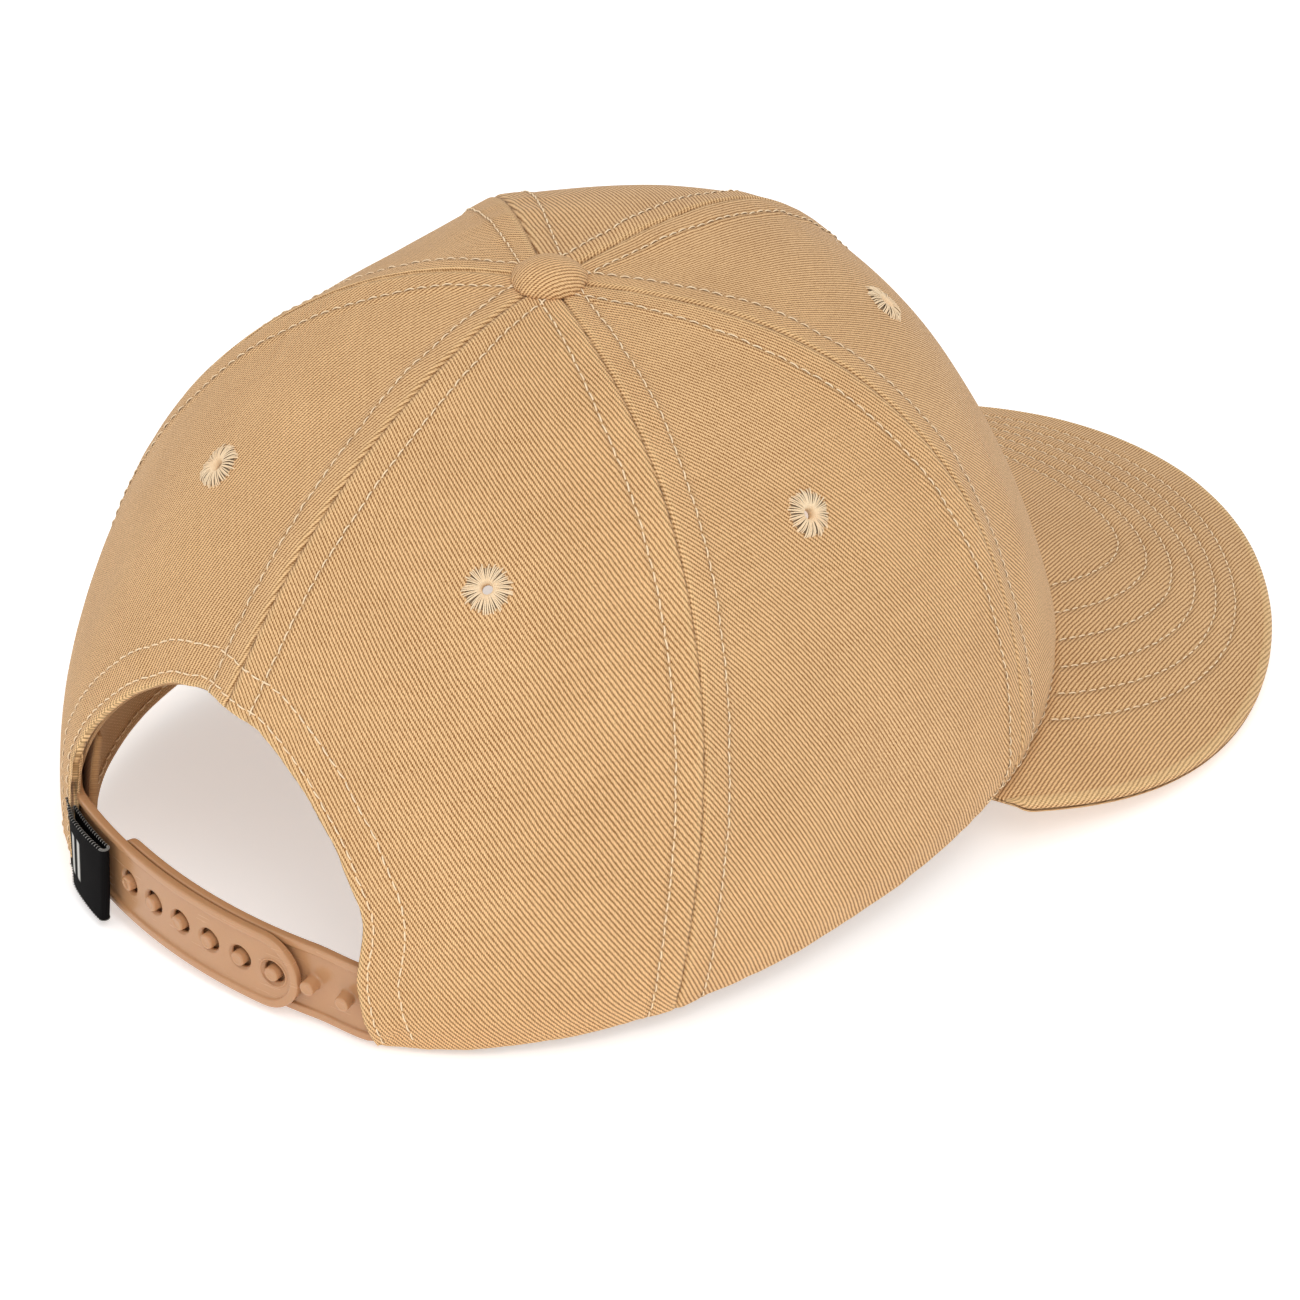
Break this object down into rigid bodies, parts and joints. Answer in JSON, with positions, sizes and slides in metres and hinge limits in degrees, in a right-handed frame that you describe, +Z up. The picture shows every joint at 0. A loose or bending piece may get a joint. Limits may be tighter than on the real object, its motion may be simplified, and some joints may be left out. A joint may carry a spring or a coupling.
{
  "type": "baseball cap",
  "caption": "Panelled cotton twill cap with a stiffened front, a curved visor, a fabric button and a plastic snap strap across an arched opening at the back.",
  "frame": {"origin": "middle of the overall box, on the surface the cap lies on", "axes": "+Z up, the visor points to -Y, the wearer's right is -X; the crown leans back 4.1 degrees, as a cap does when it lies on its visor's side edges and on the back of its rim"},
  "size_m": [0.1724, 0.2812, 0.1236],
  "materials": {
    "twill": "cotton twill, matt",
    "lining": "woven tape, matt",
    "stiffener": "stiffened open weave",
    "thread": "twisted thread",
    "moulded_strap": "satin moulded",
    "visor_board": "plain sheet",
    "shell_metal": "pressed sheet",
    "woven_label": "satin woven"
  },
  "bodies": {
    "crown": {"front_panel_right": "twill", "front_panel_left": "twill", "side_panel_right": "twill", "side_panel_left": "twill", "back_panel_right": "twill", "back_panel_left": "twill", "front_buckram_right": "stiffener", "front_buckram_left": "stiffener", "seam_tape_front": "lining", "seam_tape_front_left": "lining", "seam_tape_front_right": "lining", "seam_tape_back": "lining", "seam_tape_back_left": "lining", "seam_tape_back_right": "lining", "sweatband": "lining", "arch_facing": "lining", "eyelet_front_left": "thread", "eyelet_front_right": "thread", "eyelet_side_left": "thread", "eyelet_side_right": "thread", "eyelet_back_left": "thread", "eyelet_back_right": "thread", "button_cover": "twill", "button_shell": "shell_metal", "button_rivet": "shell_metal", "visor_cover_top": "twill", "visor_board": "visor_board", "visor_cover_bottom": "twill", "hole_strap_root": "moulded_strap", "peg_strap_root": "moulded_strap"},
    "hole_strap": {"hole_strap": "moulded_strap"},
    "peg_strap": {"peg_strap": "moulded_strap"},
    "side_label": {"side_label": "woven_label"}
  },
  "joints": [
    {"name": "hole_strap_swing", "type": "hinge", "parent": "crown", "child": "hole_strap", "pos_m": [0.04219, 0.13013, 0.01144], "axis": [0, -0.0715, -0.9974], "range_deg": [0, 45], "stiffness_Nm_per_rad": 0.004},
    {"name": "peg_strap_swing", "type": "hinge", "parent": "crown", "child": "peg_strap", "pos_m": [-0.04219, 0.12994, 0.00886], "axis": [0, -0.0715, -0.9974], "range_deg": [0, 20], "stiffness_Nm_per_rad": 0.004},
    {"name": "side_label_lift", "type": "hinge", "parent": "hole_strap", "child": "side_label", "pos_m": [0.04094, 0.13286, 0.00844], "axis": [0, -0.0715, -0.9974], "range_deg": [0, 60], "stiffness_Nm_per_rad": 0.0002}
  ]
}
